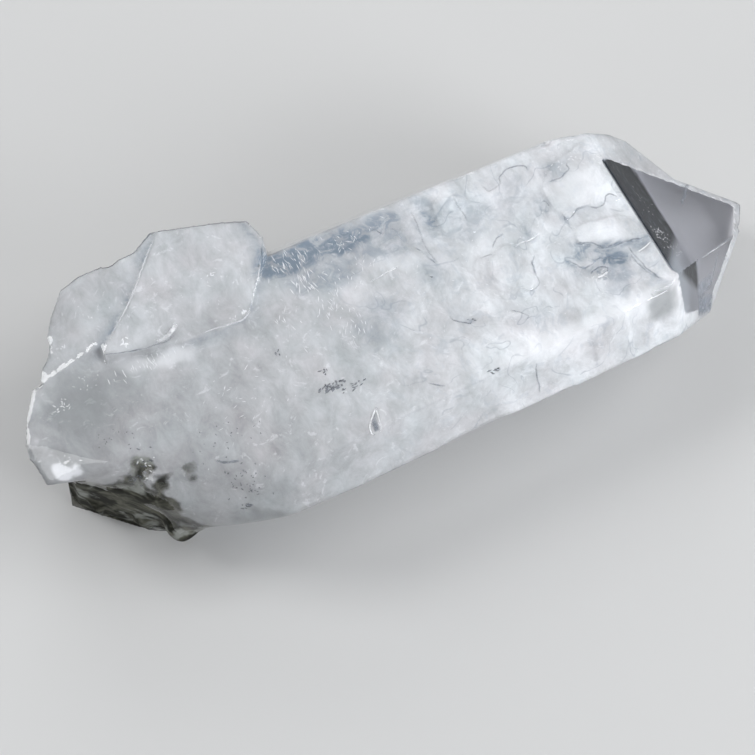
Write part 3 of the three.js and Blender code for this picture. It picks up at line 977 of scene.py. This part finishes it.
# Bright cracks, and painted highlights along edges, chip rims and a curved fracture: face, points,
# width, how bright.
GLINTS = [
    ("side", [(-9.7, 21.2), (-13.4, 16), (-16.6, 12.6), (-20.4, 12.5), (-24.4, 12.8)], 0.3, 0.6),
    ("side", [(-38.0, 17.0), (-32.0, 21.8), (-23.9, 30.2)], 0.25, 0.7),
    ("side", [(-31.3, 14.3), (-30.3, 14.1), (-29.1, 14.3), (-27.8, 14.9), (-26.9, 15.7)], 0.9, 0.9),
    ("top", [(43.6, -4.6), (44.4, -4.5), (45.6, -4.3), (46.6, -3.9)], 0.35, 1.2),
    ("top", [(26.4, 4.8), (27.8, 5), (29.5, 4.9), (31.5, 5.2)], 0.3, 1),
    ("top", [(3.5, 9.6), (5, 9.7), (6.5, 9.9), (7.6, 9.8), (8.7, 9.9)], 0.3, 1),
    ("top", [(42.2, -11.4), (42.9, -12.1), (44, -12.1), (45.4, -12.1), (46.6, -11.6)], 0.35, 1),
    ("cap", [(54.9, -7.6), (57.2, -6.7), (59.8, -5.6), (62, -4.7), (64.4, -3.4)], 0.3, 0.9),
    ("top", [(35.8, -5.8), (36.9, -5.9), (37.9, -5.7)], 0.5, 1.2),
    ("top", [(-5.3, -10.2), (-5.9, -12.0), (-6.2, -13.8), (-6.5, -15.6)], 0.4, 1.6),
    ("top", [(-5.3, -10.2), (-7.5, -12.4), (-7.9, -14.2), (-7.5, -16.0)], 0.4, 1.5),
]


def glint_lines():
    ribbons = Ribbons(seed=400)
    for plane, pairs, width, strength in GLINTS:
        ribbons.strip(plane, pairs, width, strength, depth=0.05)
    return ribbons.made("glints_and_bright_cracks")


glints = glint_lines()
keep(glints, see_through_material("glint_and_bright_crack", (0.95, 0.96, 0.98), 0.95, 0.35))


# ---------- frosted flecks and dark specks ----------

FLECK_HALF_THICKNESS = 0.035
# Groups of flecks: plane, centre (x, y), spread (x, y), how many, length, width, direction in
# degrees from +X and how far it strays.
DASHES = [
    ("top", (-6.2, 18.4), (3.4, 2.2), 34, 1.3, 0.13, 92, 26),
    ("top", (-5.6, 13.8), (2.8, 2.6), 26, 1.5, 0.15, 88, 24),
    ("top", (-11.0, 9.0), (2.4, 2.4), 12, 1.2, 0.13, 85, 30),
    ("top", (-4.0, 8.4), (2.4, 2.6), 20, 1.2, 0.14, 84, 28),
    ("top", (-2.6, 4.4), (3.4, 2.4), 20, 1.1, 0.13, 84, 32),
    ("top", (1.4, 12.6), (5.0, 3.6), 34, 0.9, 0.11, 80, 50),
    ("top", (4.0, 18.2), (5.0, 1.6), 26, 0.9, 0.11, 95, 50),
    ("top", (-12.6, 2.6), (2.4, 1.8), 8, 1.0, 0.12, 80, 40),
    ("top", (42.4, 15.6), (3.4, 1.6), 26, 0.5, 0.16, 60, 90),
    ("top", (46.4, 13.4), (0.8, 1.8), 22, 0.5, 0.18, 60, 90),
    ("top", (36.0, -6.0), (1.6, 0.8), 22, 0.6, 0.16, 20, 90),
    ("top", (22.0, 6.0), (14.0, 8.0), 60, 0.6, 0.09, 60, 90),
    ("top", (26.0, -6.0), (15.0, 5.0), 40, 0.6, 0.09, 60, 90),
    ("cap", (49.4, -2.6), (1.4, 2.4), 36, 0.55, 0.13, 100, 80),
    ("cap", (50.6, -6.0), (1.2, 2.2), 16, 0.45, 0.12, 100, 80),
    ("cap", (50.0, 5.0), (1.0, 5.0), 14, 0.35, 0.10, 100, 80),
    ("side", (-35.4, 15.8), (0.9, 0.7), 22, 0.8, 0.30, 60, 90),
    ("side", (-18.9, 20.9), (0.7, 0.4), 6, 0.9, 0.20, 20, 60),
    ("side", (-16.7, 13.4), (0.5, 0.3), 8, 0.8, 0.25, 40, 60),
    ("side", (-18.6, 13.2), (1.0, 0.5), 8, 0.6, 0.16, 30, 90),
    ("side", (-22.0, 19.0), (7.0, 5.0), 20, 0.6, 0.10, 60, 90),
    ("flank", (-44.3, 20.2), (0.5, 0.4), 6, 0.7, 0.25, 60, 90),
    ("flank", (-46.4, 20.4), (0.4, 0.4), 6, 0.7, 0.25, 60, 90),
    ("flank", (-38.0, 24.0), (4.5, 3.5), 16, 0.7, 0.10, 60, 90),
    ("root", (-48.6, 11.6), (1.8, 1.4), 18, 0.7, 0.16, 60, 90),
    ("root", (-44.0, 14.0), (3.0, 1.4), 10, 0.5, 0.14, 60, 90),
    ("root", (-52.2, 2.4), (1.6, 1.4), 20, 0.6, 0.25, 60, 90),
    ("top", (-33.4, 12.2), (4.6, 1.1), 44, 1.1, 0.13, 95, 12),
    ("top", (-24.0, 0.0), (9.0, 7.0), 40, 0.8, 0.09, 10, 50),
    ("break_low", (-40.6, -2.6), (1.6, 1.2), 12, 0.8, 0.28, 40, 90),
]
# Dark specks, given the same way.
SPECKS = [
    ("top", (-9.6, -4.4), (1.7, 1.0), 24, 1.0, 0.40, 10, 40),
    ("top", (-9.8, -1.6), (0.8, 0.6), 5, 0.7, 0.30, 30, 90),
    ("top", (-7.0, -5.6), (2.2, 0.5), 12, 0.9, 0.30, 0, 30),
    ("top", (-15.0, 4.8), (0.8, 0.6), 5, 0.5, 0.20, 30, 90),
    ("top", (13.6, -13.2), (1.1, 0.7), 8, 0.8, 0.30, -20, 30),
    ("top", (14.6, -3.8), (0.8, 0.5), 5, 0.5, 0.18, -30, 40),
    ("top", (12.5, 5.9), (0.3, 0.2), 2, 0.6, 0.22, -20, 20),
    ("break", (-28.6, -12.0), (3.2, 3.0), 40, 0.45, 0.22, 30, 90),
    ("break", (-30.4, -16.2), (1.2, 0.7), 12, 0.8, 0.35, -40, 30),
    ("top", (-28.0, -5.0), (6.0, 3.0), 22, 0.35, 0.16, 30, 90),
    ("root", (-43.0, 2.4), (3.4, 2.2), 16, 0.35, 0.16, 30, 90),
    ("break_low", (-40.8, -2.2), (1.8, 1.0), 14, 0.8, 0.34, -30, 50),
    ("break_low", (-42.6, -2.8), (1.2, 1.2), 10, 0.8, 0.34, 30, 60),
]


def flecks(name, groups, seed, deep):
    """Small flat slivers this deep under the skin, each a closed eight-sided diamond."""
    random = np.random.default_rng(seed)
    points, faces = [], []
    for plane, centre, spread, count, length, width, direction, stray in groups:
        normal = PLANES[plane][0]
        for _ in range(count):
            pair = np.array(centre) + random.normal(0, 0.5, 2) * spread
            middle = settled(lifted(plane, [pair]), random.uniform(*deep))[0]
            turn = math.radians(direction + stray * random.uniform(-1, 1))
            long = np.array([math.cos(turn), math.sin(turn), 0])
            long -= normal * (long @ normal)
            long /= np.linalg.norm(long)
            across = np.cross(normal, long)
            size = length * random.uniform(0.4, 1.25) / 2
            half = width * random.uniform(0.6, 1.3) / 2
            skew = random.uniform(-0.4, 0.4) * size
            first = len(points)
            points += [
                middle + long * size,
                middle + across * half + long * skew,
                middle - long * size,
                middle - across * half - long * skew,
                middle + normal * FLECK_HALF_THICKNESS,
                middle - normal * FLECK_HALF_THICKNESS,
            ]
            ring = [first + i for i in range(4)]
            for a, b in zip(ring, ring[1:] + ring[:1]):
                faces.append((a, b, first + 4))
                faces.append((b, a, first + 5))
    mesh = bpy.data.meshes.new(name)
    mesh.from_pydata(to_row(points).tolist(), [], faces)
    return new_object(name, mesh)


def fleck_material(name, dark, light, cover):
    """Cover is how much of what lies behind the slivers they hide."""
    material, tree = new_material(name)
    place = add(tree, "ShaderNodeTexCoord").outputs["Object"]
    shader = add(tree, "ShaderNodeBsdfPrincipled", Roughness=0.5)
    link(tree, blend_colour(tree, grain(tree, place, 700, 3), dark, light), shader.inputs["Base Color"])
    mix = add(tree, "ShaderNodeMixShader")
    mix.inputs[0].default_value = cover
    link(tree, add(tree, "ShaderNodeBsdfTransparent").outputs[0], mix.inputs[1])
    link(tree, shader.outputs[0], mix.inputs[2])
    finish_material(tree, mix.outputs[0])
    return material


dashes = flecks("frosted_flecks", DASHES, seed=500, deep=(0.06, 0.3))
keep(dashes, fleck_material("frosted_fleck", (0.80, 0.82, 0.85), (0.98, 0.98, 0.98), 0.8))
specks = flecks("dark_specks", SPECKS, seed=600, deep=(0.05, 0.12))
keep(specks, fleck_material("dark_speck", (0.10, 0.11, 0.13), (0.24, 0.26, 0.30), 0.38))


# ---------- stage and light ----------

FLOOR_HALF = 1.5
FLOOR_COLOUR = (0.68, 0.68, 0.675, 1)
SKY_COLOUR = (0.93, 0.96, 1.0, 1)
SKY_STRENGTH = 0.32
WHITE = (1, 1, 1)
LAMP_AIM = Vector((0, 0, 0.014))
# Name, place, side of its square, watts and colour, in metres.
LAMPS = (
    ("key", (0.42, -0.12, 0.55), 0.35, 1.25, WHITE),
    ("top", (-0.4, 0.36, 0.59), 0.3, 1.9, WHITE),
    ("front", (0.43, -0.59, 0.29), 0.4, 3.3, (0.97, 0.98, 1.0)),
    ("left", (-0.68, -0.28, 0.32), 0.3, 0.7, WHITE),
    ("back", (0.1, 0.62, 0.4), 0.4, 0.9, WHITE),
)


def make_floor():
    mesh = bpy.data.meshes.new("floor")
    sides = ((-1, -1), (1, -1), (1, 1), (-1, 1))
    corners = [(FLOOR_HALF * x, FLOOR_HALF * y, 0) for x, y in sides]
    mesh.from_pydata(corners, [], [(0, 1, 2, 3)])
    floor = new_object("floor", mesh)
    material, tree = new_material("floor")
    shader = add(tree, "ShaderNodeBsdfPrincipled", Roughness=0.8)
    shader.inputs["Base Color"].default_value = FLOOR_COLOUR
    finish_material(tree, shader.outputs[0])
    mesh.materials.append(material)


def make_light(name, place, size, power, colour):
    data = bpy.data.lights.new(name, "AREA")
    data.shape = "SQUARE"
    data.size = size
    data.energy = power
    data.color = colour
    lamp = bpy.data.objects.new(name, data)
    bpy.context.scene.collection.objects.link(lamp)
    lamp.location = place
    aim = LAMP_AIM - Vector(place)
    lamp.rotation_euler = aim.to_track_quat("-Z", "Y").to_euler()


def make_world():
    world = bpy.data.worlds.new("world")
    world.use_nodes = True
    background = world.node_tree.nodes["Background"]
    background.inputs["Color"].default_value = SKY_COLOUR
    background.inputs["Strength"].default_value = SKY_STRENGTH
    bpy.context.scene.world = world


make_floor()
for lamp_facts in LAMPS:
    make_light(*lamp_facts)
make_world()
bpy.context.scene.view_settings.view_transform = "Standard"
